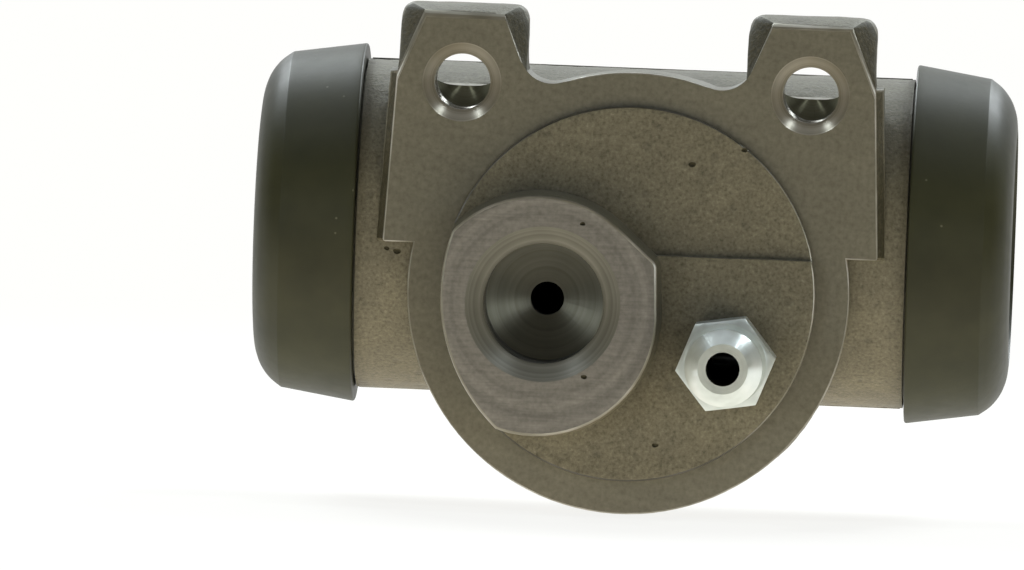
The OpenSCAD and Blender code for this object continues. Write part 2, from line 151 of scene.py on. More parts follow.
def vector_node(tree, operation, first, second=(0, 0, 0)):
    """The output of one Vector Math node: a number for a length or a dot product"""
    outputs = add_node(tree, "ShaderNodeVectorMath", {0: first, 1: second}, {"operation": operation}).outputs
    return outputs["Value" if operation in ("LENGTH", "DOT_PRODUCT") else "Vector"]


def parts_of(tree, vector):
    """The X, Y and Z outputs of a vector"""
    return add_node(tree, "ShaderNodeSeparateXYZ", {0: vector}).outputs


def object_point(tree):
    """The surface point in the piece's own frame"""
    return add_node(tree, "ShaderNodeTexCoord").outputs["Object"]


def eased(tree, value, start, stop, low, high):
    """A value that runs smoothly from low to high between a start and a stop"""
    sockets = {"Value": value, "From Min": start, "From Max": stop, "To Min": low, "To Max": high}
    return add_node(tree, "ShaderNodeMapRange", sockets, {"interpolation_type": "SMOOTHSTEP"}).outputs[0]


def new_object(name, mesh):
    """An object at the origin, linked to the scene"""
    made = bpy.data.objects.new(name, mesh)
    bpy.context.scene.collection.objects.link(made)
    return made


floor_z = cad_box[0].z - 0.1 * mm
floor_half = 4.0
floor_white = (1.0, 1.0, 0.98, 1)
floor_bounce = (0.95, 0.81, 0.59, 1)
glow_near = 2.4
glow_far = 0.7
far_front = 0.12
shadow_share = 0.14
floor_mesh = bpy.data.meshes.new("studio_floor")
corners = [(x * floor_half, y * floor_half, floor_z) for x, y in ((-1, -1), (1, -1), (1, 1), (-1, 1))]
floor_mesh.from_pydata(corners, [], [(0, 1, 2, 3)])
floor = new_object("studio_floor", floor_mesh)
floor_material, tree = new_material("studio_floor")
light_path = add_node(tree, "ShaderNodeLightPath")
seen = math_node(tree, "ADD", light_path.outputs["Is Camera Ray"], light_path.outputs["Is Glossy Ray"])
seen = math_node(tree, "ADD", seen, light_path.outputs["Is Transmission Ray"], clamp=True)
floor_spot = object_point(tree)
from_front = parts_of(tree, floor_spot)["Y"]
lit_share = eased(tree, from_front, -0.05, 0.0, far_front, 1.0)
lit_share = math_node(tree, "MAXIMUM", lit_share, light_path.outputs["Is Camera Ray"])
away = vector_node(tree, "LENGTH", floor_spot)
floor_glow = eased(tree, away, 0.04, 0.20, glow_near, glow_far)
white_glow = add_node(tree, "ShaderNodeEmission", {"Color": floor_white, "Strength": lit_share})
white_shaded = add_node(tree, "ShaderNodeBsdfDiffuse", {"Color": floor_white})
warm_glow = add_node(tree, "ShaderNodeEmission", {"Color": floor_bounce, "Strength": floor_glow})
warm_shaded = add_node(tree, "ShaderNodeBsdfDiffuse", {"Color": floor_bounce})
shaded_share = eased(tree, away, 0.08, 0.35, shadow_share, 0.0)
white = add_node(tree, "ShaderNodeMixShader", {
    0: shaded_share, 1: white_glow.outputs[0], 2: white_shaded.outputs[0],
})
warm = add_node(tree, "ShaderNodeAddShader", {0: warm_glow.outputs[0], 1: warm_shaded.outputs[0]})
floor_shader = add_node(tree, "ShaderNodeMixShader", {0: seen, 1: warm.outputs[0], 2: white.outputs[0]})
add_node(tree, "ShaderNodeOutputMaterial", {"Surface": floor_shader.outputs[0]})
floor_mesh.materials.append(floor_material)


def add_lamp(name, place, size, watts):
    """A square lamp that faces the object"""
    lamp_data = bpy.data.lights.new(name, "AREA")
    lamp_data.shape = "SQUARE"
    lamp_data.size = size
    lamp_data.energy = watts
    lamp_data.color = (0.90, 0.97, 1.0)
    lamp = new_object(name, lamp_data)
    lamp.location = place
    lamp.rotation_euler = Vector(place).to_track_quat("Z", "Y").to_euler()


for side in (-1, 1):
    add_lamp("soft_lamp", (side * 0.42, 0.62, 0.66), 0.36, 7.5)
    add_lamp("small_lamp", (side * 0.50, -0.10, 0.76), 0.08, 1.1)
    add_lamp("side_lamp", (side * 0.58, -0.85, 0.14), 0.25, 0.95)

room_back = 1.0
room_front = 0.04
room_top = 0.45
side_dimming = 0.7
world = bpy.data.worlds.new("studio_room")
world.use_nodes = True
world.node_tree.nodes.clear()
bpy.context.scene.world = world
tree = world.node_tree
direction = add_node(tree, "ShaderNodeTexCoord").outputs["Generated"]
direction = parts_of(tree, direction)
behind = eased(tree, direction["Y"], 0.1, 0.8, 0.0, room_back - room_front)
sideways = math_node(tree, "MULTIPLY", math_node(tree, "POWER", direction["X"], 2.0), side_dimming)
strength = math_node(tree, "MULTIPLY", behind, math_node(tree, "SUBTRACT", 1.0, sideways))
strength = math_node(tree, "ADD", strength, room_front)
strength = math_node(tree, "ADD", strength, eased(tree, direction["Z"], 0.55, 0.95, 0.0, room_top))
room = add_node(tree, "ShaderNodeBackground", {"Color": (0.98, 0.99, 1.0, 1), "Strength": strength})
add_node(tree, "ShaderNodeOutputWorld", {"Surface": room.outputs[0]})

# Housing: one grey iron casting with the barrel, the flange with its two ears, the pilot and the port boss.
# Its mounting face, pilot edge and boss face are machined bright, and its holes are drilled and tapped.
mounts = {mount["name"]: mount for mount in frame["record"]["mounts"]}
joints = {joint["name"]: joint for joint in frame["joints"]}
port = Vector(mounts["brake_line_port"]["pos_m"])
port_r = mounts["brake_line_port"]["dims"]["r_mm"] * mm
pilot_r = mounts["pilot"]["dims"]["r_mm"] * mm
hole_r = mounts["mount_bolts"]["dims"]["hole_r_mm"] * mm
hole_x = mounts["mount_bolts"]["dims"]["spacing_x_mm"] * mm / 2
hole_z = mounts["mount_bolts"]["pos_m"][2]
bleed = Vector(joints["bleed_screw_turn"]["pos_m"])
piston_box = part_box("right_piston")
bore_y = (piston_box[0].y + piston_box[1].y) / 2
bore_z = (piston_box[0].z + piston_box[1].z) / 2
bore_r = (piston_box[1].z - piston_box[0].z) / 2
boss_y = -6.0 * mm
boss_sink_r = 7.3 * mm
hole_sink_r = 3.8 * mm
hole_floor = 1 * mm
bleed_hole_r = 3.6 * mm
barrel_end = 25.2 * mm
slope_foot = 3 * mm
slope_depth = 4 * mm
pilot_front = -1.75 * mm
slack = 0.01 * mm


def new_group(name, inputs, outputs):
    """An empty shader node group of number sockets, with its input and output nodes"""
    group = bpy.data.node_groups.new(name, "ShaderNodeTree")
    for title, value in inputs.items():
        socket = group.interface.new_socket(title, in_out="INPUT", socket_type="NodeSocketFloat")
        socket.default_value = value
    for title in outputs:
        group.interface.new_socket(title, in_out="OUTPUT", socket_type="NodeSocketFloat")
    return group, group.nodes.new("NodeGroupInput"), group.nodes.new("NodeGroupOutput")


def use_group(tree, group, values):
    """The outputs of a shader node group placed in a material"""
    return add_node(tree, "ShaderNodeGroup", values, {"node_tree": group}).outputs


def colour_ramp(tree, factor, stops):
    """A colour that runs through the given stops"""
    made = add_node(tree, "ShaderNodeValToRGB", {"Fac": factor})
    elements = made.color_ramp.elements
    while len(elements) < len(stops):
        elements.new(0.5)
    for element, (place, colour) in zip(elements, stops):
        element.position = place
        element.color = (*colour, 1)
    return made.outputs["Color"]


def value_range(tree, value, low, high):
    """A 0 to 1 value spread from low to high"""
    sockets = {"Value": value, "To Min": low, "To Max": high}
    return add_node(tree, "ShaderNodeMapRange", sockets).outputs[0]


def scaled(tree, value, factor):
    """A colour or a vector times a factor that varies over the surface"""
    sockets = {0: value, "Scale": factor}
    return add_node(tree, "ShaderNodeVectorMath", sockets, {"operation": "SCALE"}).outputs[0]


def varied(tree, colour, field, low, high):
    """A colour made lighter or darker by a field from 0 to 1"""
    return scaled(tree, colour, value_range(tree, field, low, high))


def bumped(tree, height, depth, strength=1.0):
    """The surface normal over a height from 0 to 1 that stands for depth metres"""
    sockets = {"Height": height, "Distance": depth, "Strength": strength}
    return add_node(tree, "ShaderNodeBump", sockets).outputs["Normal"]


def finish(tree, values):
    """The Principled surface of a material"""
    shader = add_node(tree, "ShaderNodeBsdfPrincipled", values)
    add_node(tree, "ShaderNodeOutputMaterial", {"Surface": shader.outputs["BSDF"]})


def spaced(group, group_in, size):
    """The sockets of a texture whose pattern has the spacing of a group's size input"""
    scale = math_node(group, "DIVIDE", 1.0, group_in.outputs[size])
    return {"Vector": object_point(group), "Scale": scale}


# Sand grain of the casting: a fine grain, slow blotches and scattered small pits
iron_grain, group_in, group_out = new_group(
    "iron_grain", {"Grain Size": 0.3 * mm, "Blotch Size": 5 * mm, "Pit Size": 1.6 * mm},
    ("Grain", "Blotch", "Pit"),
)
for title, detail in (("Grain", 4.0), ("Blotch", 2.0)):
    field = add_node(iron_grain, "ShaderNodeTexNoise", {
        **spaced(iron_grain, group_in, title + " Size"), "Detail": detail, "Roughness": 0.6,
    })
    iron_grain.links.new(field.outputs["Fac"], group_out.inputs[title])
cells = add_node(iron_grain, "ShaderNodeTexVoronoi", spaced(iron_grain, group_in, "Pit Size"))
pit = eased(iron_grain, cells.outputs["Distance"], 0.10, 0.22, 1.0, 0.0)
iron_grain.links.new(pit, group_out.inputs["Pit"])

# Tool marks of turning, drilling and facing: fine rings by the distance from the tool's axis
tool_marks, group_in, group_out = new_group(
    "tool_marks", {"Distance": 0.0, "Pitch": 0.1 * mm}, ("Fine", "Broad"),
)
turns = math_node(tool_marks, "DIVIDE", group_in.outputs["Distance"], group_in.outputs["Pitch"])
for title, slow in (("Fine", 1.0), ("Broad", 0.2)):
    pattern = {"W": turns, "Scale": slow, "Detail": 2.0, "Roughness": 0.5}
    rings = add_node(tool_marks, "ShaderNodeTexNoise", pattern, {"noise_dimensions": "1D"})
    tool_marks.links.new(rings.outputs["Fac"], group_out.inputs[title])


def metal_grain(tree, grain_size, blotch_size, pit_size=1.6 * mm):
    """The grain, the blotches and the pits of a metal surface"""
    return use_group(tree, iron_grain, {
        "Grain Size": grain_size, "Blotch Size": blotch_size, "Pit Size": pit_size,
    })


def from_axis(tree, centre, across):
    """The vector from a tool's axis to the surface point"""
    return vector_node(tree, "MULTIPLY", vector_node(tree, "SUBTRACT", object_point(tree), centre), across)


def ring_marks(tree, pitch, centre, across=(1, 0, 1), along=(0, -0.7, 0)):
    """Tool marks by the distance out from a tool's axis and along it, so that rings show on every wall"""
    radius = vector_node(tree, "LENGTH", from_axis(tree, centre, across))
    depth = vector_node(tree, "DOT_PRODUCT", object_point(tree), along)
    distance = math_node(tree, "ADD", radius, depth)
    return use_group(tree, tool_marks, {"Distance": distance, "Pitch": pitch})


def ring_direction(tree, centre):
    """The direction in which a highlight spreads on a face turned or drilled about an axis along Y"""
    return vector_node(tree, "NORMALIZE", from_axis(tree, centre, (1, 0, 1)))


cast_skin, tree = new_material("cast_skin")
grain = metal_grain(tree, 0.30 * mm, 3.5 * mm, 2.3 * mm)
colour = colour_ramp(tree, grain["Grain"], (
    (0.28, (0.052, 0.049, 0.030)), (0.45, (0.090, 0.085, 0.059)), (0.60, (0.112, 0.106, 0.075)),
    (0.78, (0.156, 0.149, 0.120)),
))
colour = varied(tree, colour, grain["Blotch"], 0.78, 1.24)
colour = varied(tree, colour, grain["Pit"], 1.0, 0.85)
height = math_node(tree, "SUBTRACT", grain["Grain"], math_node(tree, "MULTIPLY", grain["Pit"], 0.5))
finish(tree, {
    "Base Color": colour,
    "Metallic": 0.2,
    "Roughness": value_range(tree, grain["Grain"], 0.46, 0.62),
    "Normal": bumped(tree, height, 0.10 * mm, 0.7),
})

# Painted shade: a near-black cast skin for the walls that slope sideways beside the ears and shoulders, and inside
# the sand holes, standing for the shade that falls there
shade_painted_skin, tree = new_material("shade_painted_skin")
grain = metal_grain(tree, 0.35 * mm, 2.5 * mm)
colour = colour_ramp(tree, grain["Grain"], (
    (0.3, (0.022, 0.020, 0.008)), (0.5, (0.038, 0.035, 0.017)), (0.75, (0.062, 0.058, 0.036)),
))
colour = varied(tree, colour, grain["Blotch"], 0.75, 1.25)
finish(tree, {
    "Base Color": colour,
    "Metallic": 0.1,
    "Roughness": value_range(tree, grain["Grain"], 0.66, 0.84),
    "Normal": bumped(tree, grain["Grain"], 0.12 * mm, 0.8),
})

cutter_axis = (0.05, 0, 0.16)
machined_face, tree = new_material("machined_face")
grain = metal_grain(tree, 0.5 * mm, 7 * mm)
marks = ring_marks(tree, 0.22 * mm, cutter_axis)
colour = colour_ramp(tree, grain["Grain"], (
    (0.2, (0.101, 0.097, 0.073)), (0.5, (0.139, 0.135, 0.106)), (0.8, (0.173, 0.167, 0.137)),
))
colour = varied(tree, colour, grain["Blotch"], 0.86, 1.14)
colour = varied(tree, colour, marks["Broad"], 0.92, 1.08)
finish(tree, {
    "Base Color": colour,
    "Metallic": 0.55,
    "Roughness": value_range(tree, grain["Grain"], 0.44, 0.58),
    "Normal": bumped(tree, marks["Fine"], 0.008 * mm, 0.6),
})

boss_face, tree = new_material("boss_face")
grain = metal_grain(tree, 0.5 * mm, 5 * mm)
marks = ring_marks(tree, 0.2 * mm, port)
colour = colour_ramp(tree, grain["Grain"], (
    (0.2, (0.134, 0.132, 0.120)), (0.5, (0.177, 0.174, 0.164)), (0.8, (0.219, 0.216, 0.207)),
))
colour = varied(tree, colour, grain["Blotch"], 0.88, 1.12)
colour = varied(tree, colour, marks["Broad"], 0.74, 1.26)
strokes = add_node(tree, "ShaderNodeMapping", {
    "Vector": object_point(tree), "Rotation": (0, math.radians(-38), 0), "Scale": (260, 1, 4200),
}).outputs[0]
filed = add_node(tree, "ShaderNodeTexNoise", {"Vector": strokes, "Scale": 1.0, "Detail": 3.0}).outputs["Fac"]
colour = varied(tree, colour, filed, 0.72, 1.28)
finish(tree, {
    "Base Color": colour,
    "Metallic": 0.6,
    "Roughness": value_range(tree, grain["Grain"], 0.4, 0.52),
    "Normal": bumped(tree, marks["Fine"], 0.012 * mm, 0.7),
})


def drilled_finish(name, axis_point, metal, roughness, spread, colours):
    """Drilled or countersunk iron with the tool's rings about one axis, across which a highlight spreads"""
    material, tree = new_material(name)
    marks = ring_marks(tree, 0.12 * mm, axis_point)
    grain = metal_grain(tree, 0.6 * mm, 3 * mm)
    colour = colour_ramp(tree, marks["Broad"], ((0.25, colours[0]), (0.75, colours[1])))
    colour = varied(tree, colour, grain["Blotch"], 0.85, 1.15)
    finish(tree, {
        "Base Color": colour,
        "Metallic": metal,
        "Roughness": value_range(tree, grain["Grain"], roughness - 0.05, roughness + 0.05),
        "Anisotropic": spread,
        "Tangent": ring_direction(tree, axis_point),
        "Normal": bumped(tree, marks["Fine"], 0.006 * mm, 0.5),
    })
    return material


mouth_look = {
    "metal": 0.3, "roughness": 0.44, "spread": 0.2,
    "colours": ((0.085, 0.087, 0.076), (0.132, 0.136, 0.124)),
}
seat_look = {
    "metal": 0.95, "roughness": 0.50, "spread": 1.0,
    "colours": ((0.36, 0.35, 0.27), (0.50, 0.49, 0.40)),
}
point_look = {**seat_look, "colours": ((0.24, 0.23, 0.15), (0.36, 0.35, 0.26))}
wall_look = {
    "metal": 0.65, "roughness": 0.32, "spread": 0.3,
    "colours": ((0.22, 0.21, 0.175), (0.34, 0.33, 0.29)),
}
bleed_look = {**wall_look, "roughness": 0.36}
left_hole = Vector((-hole_x, 0, hole_z))
right_hole = Vector((hole_x, 0, hole_z))
port_drilling = drilled_finish("port_drilling", port, **mouth_look)
port_seat = drilled_finish("port_seat", port, **seat_look)
left_hole_drilling = drilled_finish("left_hole_drilling", left_hole, **wall_look)
left_hole_point = drilled_finish("left_hole_point", left_hole, **point_look)
right_hole_drilling = drilled_finish("right_hole_drilling", right_hole, **wall_look)
right_hole_point = drilled_finish("right_hole_point", right_hole, **point_look)
bleed_drilling = drilled_finish("bleed_drilling", bleed, **bleed_look)

bright_edge, tree = new_material("bright_edge")
grain = metal_grain(tree, 0.8 * mm, 6 * mm)
colour = colour_ramp(tree, grain["Blotch"], (
    (0.35, (0.20, 0.193, 0.155)), (0.5, (0.29, 0.283, 0.240)), (0.7, (0.46, 0.45, 0.42)),
))
# Painted highlight and shade: the pilot's edge is lighter on its right, where it catches the light, and darker the
# rest of the way round, where it is in shade
edge_spot = object_point(tree)
edge_place = parts_of(tree, edge_spot)
from_pilot = math_node(tree, "SUBTRACT", vector_node(tree, "LENGTH", edge_spot), pilot_r)
from_pilot = math_node(tree, "ABSOLUTE", from_pilot)
on_pilot = eased(tree, from_pilot, 0.2 * mm, 0.6 * mm, 1.0, 0.0)
on_pilot = math_node(tree, "MULTIPLY", on_pilot, eased(tree, edge_place["Y"], -3 * mm, -2 * mm, 0.0, 1.0))
painted_light_by_side = eased(tree, edge_place["X"], 9 * mm, 15 * mm, -0.68, 0.1)
share = math_node(tree, "ADD", 1.0, math_node(tree, "MULTIPLY", on_pilot, painted_light_by_side))
colour = scaled(tree, colour, share)
finish(tree, {
    "Base Color": colour,
    "Metallic": 0.75,
    "Roughness": value_range(tree, grain["Grain"], 0.25, 0.4),
    "Normal": bumped(tree, grain["Grain"], 0.03 * mm, 0.5),
})

honed_bore, tree = new_material("honed_bore")
along = parts_of(tree, object_point(tree))["X"]
marks = use_group(tree, tool_marks, {"Distance": along, "Pitch": 0.15 * mm})
colour = colour_ramp(tree, marks["Broad"], ((0.3, (0.26, 0.25, 0.23)), (0.7, (0.36, 0.35, 0.33))))
finish(tree, {
    "Base Color": colour,
    "Metallic": 0.9,
    "Roughness": value_range(tree, marks["Fine"], 0.2, 0.32),
    "Normal": bumped(tree, marks["Fine"], 0.006 * mm, 0.6),
})

# SCALE marks the faces that take the near-black skin of painted shade
CAST, MACHINED, BOSS, PORT, LEFT_HOLE, RIGHT_HOLE, BLEED, EDGE, BORE, SCALE = range(10)
housing_finishes = (
    cast_skin, machined_face, boss_face, port_drilling, left_hole_drilling, right_hole_drilling,
    bleed_drilling, bright_edge, honed_bore, shade_painted_skin,
)


def shape_object(name, shape, materials):
    """An object made of a finished bmesh and its materials"""
    mesh = bpy.data.meshes.new(name)
    shape.to_mesh(mesh)
    shape.free()
    for material in materials:
        mesh.materials.append(material)
    return new_object(name, mesh)


def merged_copy(node):
    """A CAD node's mesh as an editable copy, with its loose triangles joined and its flat faces whole"""
    shape = bmesh.new()
    shape.from_mesh(frame["nodes"][node].data)
    bmesh.ops.remove_doubles(shape, verts=shape.verts, dist=0.001 * mm)
    bmesh.ops.dissolve_limit(shape, angle_limit=math.radians(0.5), verts=shape.verts, edges=shape.edges)
    return shape


def drilled_about(face, x, z, reach):
    """Whether a face belongs to a hole about the line through x and z"""
    middle = face.calc_center_bounds()
    out = Vector((middle.x - x, 0, middle.z - z))
    if out.length > reach:
        return False
    if face.normal.y < -0.99:
        return middle.y > hole_floor
    return face.normal.dot(out) < -0.3 * out.length


def housing_finish(face):
    """How a face of the housing is made"""
    middle = face.calc_center_bounds()
    for index, x, z, reach in (
        (PORT, port.x, port.z, boss_sink_r), (LEFT_HOLE, -hole_x, hole_z, hole_sink_r),
        (RIGHT_HOLE, hole_x, hole_z, hole_sink_r), (BLEED, bleed.x, bleed.z, bleed_hole_r),
    ):
        if drilled_about(face, x, z, reach):
            return index
    faces_front = face.normal.y < -0.999
    if faces_front and abs(middle.y) < slack:
        return MACHINED
    if faces_front and abs(middle.y - boss_y) < slack:
        return BOSS
    if abs(middle.x) > barrel_end:
        return MACHINED
    from_bore = Vector((0, middle.y - bore_y, middle.z - bore_z))
    if from_bore.length < bore_r + 0.2 * mm and face.normal.dot(from_bore) < 0:
        return BORE
    # Sideways-sloping walls by the ears and shoulders take the near-black skin of painted shade
    slopes = face.normal.y < -0.1 and abs(face.normal.x) > 0.3
    if slopes and -0.1 * mm < middle.y < slope_depth and middle.z > slope_foot:
        return SCALE
    from_pilot = math.hypot(face.verts[0].co.x, face.verts[0].co.z) - pilot_r
    upright = abs(face.normal.y) < 0.08
    if upright and abs(from_pilot) < 0.1 * mm and pilot_front < middle.y < 0:
        return MACHINED
    return CAST


edge_widths = {
    frozenset((CAST,)): 0.25 * mm,
    frozenset((CAST, SCALE)): 0.25 * mm,
    frozenset((CAST, MACHINED)): 0.13 * mm,
    frozenset((SCALE, MACHINED)): 0.10 * mm,
    frozenset((CAST, BOSS)): 0.22 * mm,
    frozenset((MACHINED,)): 0.08 * mm,
}
top_edge_width = 0.7 * mm
widest_edge = max(top_edge_width, *edge_widths.values())
sharp_angle = math.radians(28)
front_depth = 6.5 * mm
ear_foot = 17.3 * mm
ear_start = 20.6 * mm
ear_top = ear_start + 1 * mm
end_edge = barrel_end - 0.3 * mm
fillet_step = 0.7 * mm
same_way = 0.85
most_of_edge = 0.4
shape = merged_copy("housing")
for face in shape.faces:
    face.material_index = housing_finish(face)
weights = shape.edges.layers.float.new("bevel_weight_edge")
outlines = {}
for edge in shape.edges:
    pair = frozenset(face.material_index for face in edge.link_faces)
    in_front = max(corner.co.y for corner in edge.verts) < front_depth
    at_end = max(abs(corner.co.x) for corner in edge.verts) > end_edge
    in_fillet = edge.calc_length() < fillet_step and min(corner.co.z for corner in edge.verts) > ear_foot
    on_ear = max(corner.co.z for corner in edge.verts) > ear_top and MACHINED not in pair
    plain = in_front and not (at_end or in_fillet or on_ear)
    if pair in edge_widths and plain and edge.is_convex and edge.calc_face_angle() > sharp_angle:
        on_top = min(corner.co.z for corner in edge.verts) > ear_top and CAST in pair
        outlines[edge] = top_edge_width if on_top else edge_widths[pair]
for edge, width in outlines.items():
    along = (edge.verts[1].co - edge.verts[0].co).normalized()
    for corner in edge.verts:
        for other in corner.link_edges:
            turn = abs((other.verts[1].co - other.verts[0].co).normalized().dot(along))
            if turn < same_way or other not in outlines:
                width = min(width, most_of_edge * other.calc_length())
    edge[weights] = width / widest_edge
housing = shape_object("cast_housing", shape, housing_finishes)


def apply_modifiers(piece):
    """The piece's modifiers made part of its mesh"""
    bpy.context.view_layer.update()
    made = bpy.data.meshes.new_from_object(piece.evaluated_get(bpy.context.evaluated_depsgraph_get()))
    piece.modifiers.clear()
    piece.data = made


def break_edges(piece, width, **settings):
    """The weighted edges of a piece rounded a little"""
    bevel = piece.modifiers.new("broken_edges", "BEVEL")
    for name, value in {"limit_method": "WEIGHT", "width": width, "segments": 2, **settings}.items():
        setattr(bevel, name, value)
    apply_modifiers(piece)


def shade_evenly(piece):
    """Smooth shading between sharp edges, with flat faces kept flat"""
    for polygon in piece.data.polygons:
        polygon.use_smooth = True
    piece.data.set_sharp_from_angle(angle=sharp_angle)
    weighted = piece.modifiers.new("flat_faces", "WEIGHTED_NORMAL")
    weighted.keep_sharp = True
    apply_modifiers(piece)


break_edges(housing, widest_edge, use_clamp_overlap=False, material=EDGE)
shape = bmesh.new()
shape.from_mesh(housing.data)
bright_faces = set()
for face in shape.faces:
    beside = {near.material_index for corner in face.verts for near in corner.link_faces}
    if face.material_index == EDGE and beside & {MACHINED, BOSS}:
        bright_faces.add(face)
for face in shape.faces:
    by_bright = any(near in bright_faces for corner in face.verts for near in corner.link_faces)
    if face.material_index == EDGE and not by_bright:
        face.material_index = CAST
shape.to_mesh(housing.data)
shape.free()


# Threads of the port and of the mount holes, cut with a tap, and a few sand holes
def geometry_tree(name, inputs):
    """An empty geometry node tree with named inputs, and its input and output sockets"""
    tree = bpy.data.node_groups.new(name, "GeometryNodeTree")
    tree.interface.new_socket("Geometry", in_out="OUTPUT", socket_type="NodeSocketGeometry")
    for title, kind in inputs.items():
        tree.interface.new_socket(title, in_out="INPUT", socket_type="NodeSocket" + kind)
    return tree, tree.nodes.new("NodeGroupInput").outputs, tree.nodes.new("NodeGroupOutput").inputs


def grown(name, tree, values):
    """A piece with the plain mesh that a geometry node tree makes from the given inputs"""
    piece = new_object(name, bpy.data.meshes.new(name))
    grower = piece.modifiers.new(name, "NODES")
    grower.node_group = tree
    for socket in tree.interface.items_tree:
        if socket.in_out == "INPUT":
            grower[socket.identifier] = values[socket.name]
    apply_modifiers(piece)
    return piece


def end_tree(tree, geometry, material, output):
    """The last two nodes of a geometry node tree"""
    real = add_node(tree, "GeometryNodeRealizeInstances", {0: geometry}).outputs[0]
    done = add_node(tree, "GeometryNodeSetMaterial", {"Geometry": real, "Material": material})
    tree.links.new(done.outputs[0], output)


tap, tap_in, tap_out = geometry_tree("tap", {
    "Core Radius": "Float", "Thread Depth": "Float", "Pitch": "Float", "Length": "Float", "Middle": "Vector",
    "Material": "Material",
})
tap_sides = 61
rows_per_turn = 6.0
rows = math_node(tap, "MULTIPLY", math_node(tap, "DIVIDE", tap_in["Length"], tap_in["Pitch"]), rows_per_turn)
rod = add_node(tap, "GeometryNodeMeshCylinder", {
    "Vertices": tap_sides, "Side Segments": rows, "Radius": tap_in["Core Radius"], "Depth": tap_in["Length"],
}).outputs["Mesh"]
place = add_node(tap, "GeometryNodeInputPosition").outputs[0]
part_of = parts_of(tap, place)
turn = math_node(tap, "DIVIDE", math_node(tap, "ARCTAN2", part_of["Y"], part_of["X"]), 2 * math.pi)
phase = math_node(tap, "SUBTRACT", math_node(tap, "DIVIDE", part_of["Z"], tap_in["Pitch"]), turn)
fold = math_node(tap, "SUBTRACT", math_node(tap, "MULTIPLY", math_node(tap, "FRACT", phase), 2.0), 1.0)
wave = math_node(tap, "SUBTRACT", 1.0, math_node(tap, "ABSOLUTE", fold))
growth = math_node(tap, "MULTIPLY", wave, tap_in["Thread Depth"])
growth = math_node(tap, "DIVIDE", growth, tap_in["Core Radius"])
outward = scaled(tap, vector_node(tap, "MULTIPLY", place, (1, 1, 0)), growth)
rod = add_node(tap, "GeometryNodeSetPosition", {"Geometry": rod, "Offset": outward}).outputs[0]
rod = add_node(tap, "GeometryNodeTransform", {
    "Geometry": rod, "Translation": tap_in["Middle"], "Rotation": (math.radians(90), 0, 0),
}).outputs[0]
end_tree(tap, rod, tap_in["Material"], tap_out[0])


def cut_away(piece, cutter):
    """The piece less the cutter, whose cut faces keep the cutter's material"""
    cut = piece.modifiers.new("cut", "BOOLEAN")
    cut.operation = "DIFFERENCE"
    cut.solver = "EXACT"
    cut.material_mode = "TRANSFER"
    cut.object = cutter
    apply_modifiers(piece)
    bpy.data.objects.remove(cutter)


def turned_piece(name, outline, centre, axis, around, materials, material_at=lambda index: 0):
    """A closed outline of (radius, station) points in millimetres, turned about an axis along X or Y"""
    across = Vector((0, 1, 0)) if abs(axis.x) > 0.5 else Vector((1, 0, 0))
    upward = Vector((0, 0, 1))
    count = len(outline)
    places = []
    for k in range(around):
        angle = 2 * math.pi * k / around
        out = across * math.cos(angle) + upward * math.sin(angle)
        places.extend(centre + (out * r + axis * station) * mm for r, station in outline)
    shape = bmesh.new()
    corners = [shape.verts.new(place) for place in places]
    for k in range(around):
        ahead = (k + 1) % around
        for index in range(count):
            onward = (index + 1) % count
            ring = (k * count + index, k * count + onward, ahead * count + onward, ahead * count + index)
            face = shape.faces.new([corners[spot] for spot in ring])
            face.material_index = material_at(index)
            face.smooth = True
    bmesh.ops.remove_doubles(shape, verts=shape.verts, dist=0.0005 * mm)
    bmesh.ops.recalc_face_normals(shape, faces=shape.faces)
    return shape_object(name, shape, materials)


# Drills for the port and the mount holes: countersink, straight wall and drill point.
# They are a hair wider than the CAD's walls.
def drill(name, centre, mouth, wall_r, wall_start, wall_end, sink_slope, materials):
    """A turned drill that points along +Y, in millimetres, with its second material on its point"""
    fit = 0.015
    sides = 128
    half_point = math.radians(59)
    drill_r = wall_r + fit
    outline = (
        (0, mouth), (drill_r + (wall_start - mouth) * sink_slope, mouth), (drill_r, wall_start),
        (drill_r, wall_end), (0, wall_end + drill_r / math.tan(half_point)),
    )
    return turned_piece(
        name, outline, Vector((centre.x, 0, centre.z)), Vector((0, 1, 0)), sides, materials,
        lambda index: int(index == 3),
    )


cut_away(housing, drill(
    "port_drill", port, mouth=-6.5, wall_r=port_r / mm, wall_start=-4.5, wall_end=2.8, sink_slope=1.0667,
    materials=(port_drilling, port_seat),
))
for hole, wall, point in (
    (left_hole, left_hole_drilling, left_hole_point), (right_hole, right_hole_drilling, right_hole_point),
):
    cut_away(housing, drill(
        "hole_drill", hole, mouth=-0.5, wall_r=hole_r / mm, wall_start=1.05, wall_end=7.5, sink_slope=1.0,
        materials=(wall, point),
    ))
cut_away(housing, grown("port_tap", tap, {
    "Core Radius": port_r - 0.06 * mm, "Thread Depth": 0.6 * mm, "Pitch": 1 * mm, "Length": 5.6 * mm,
    "Middle": (port.x, -1.5 * mm, port.z), "Material": port_drilling,
}))
for hole, wall in ((left_hole, left_hole_drilling), (right_hole, right_hole_drilling)):
    cut_away(housing, grown("hole_tap", tap, {
        "Core Radius": hole_r - 0.06 * mm, "Thread Depth": 0.5 * mm, "Pitch": 1 * mm, "Length": 5.2 * mm,
        "Middle": (hole.x, 4.3 * mm, hole.z), "Material": wall,
    }))

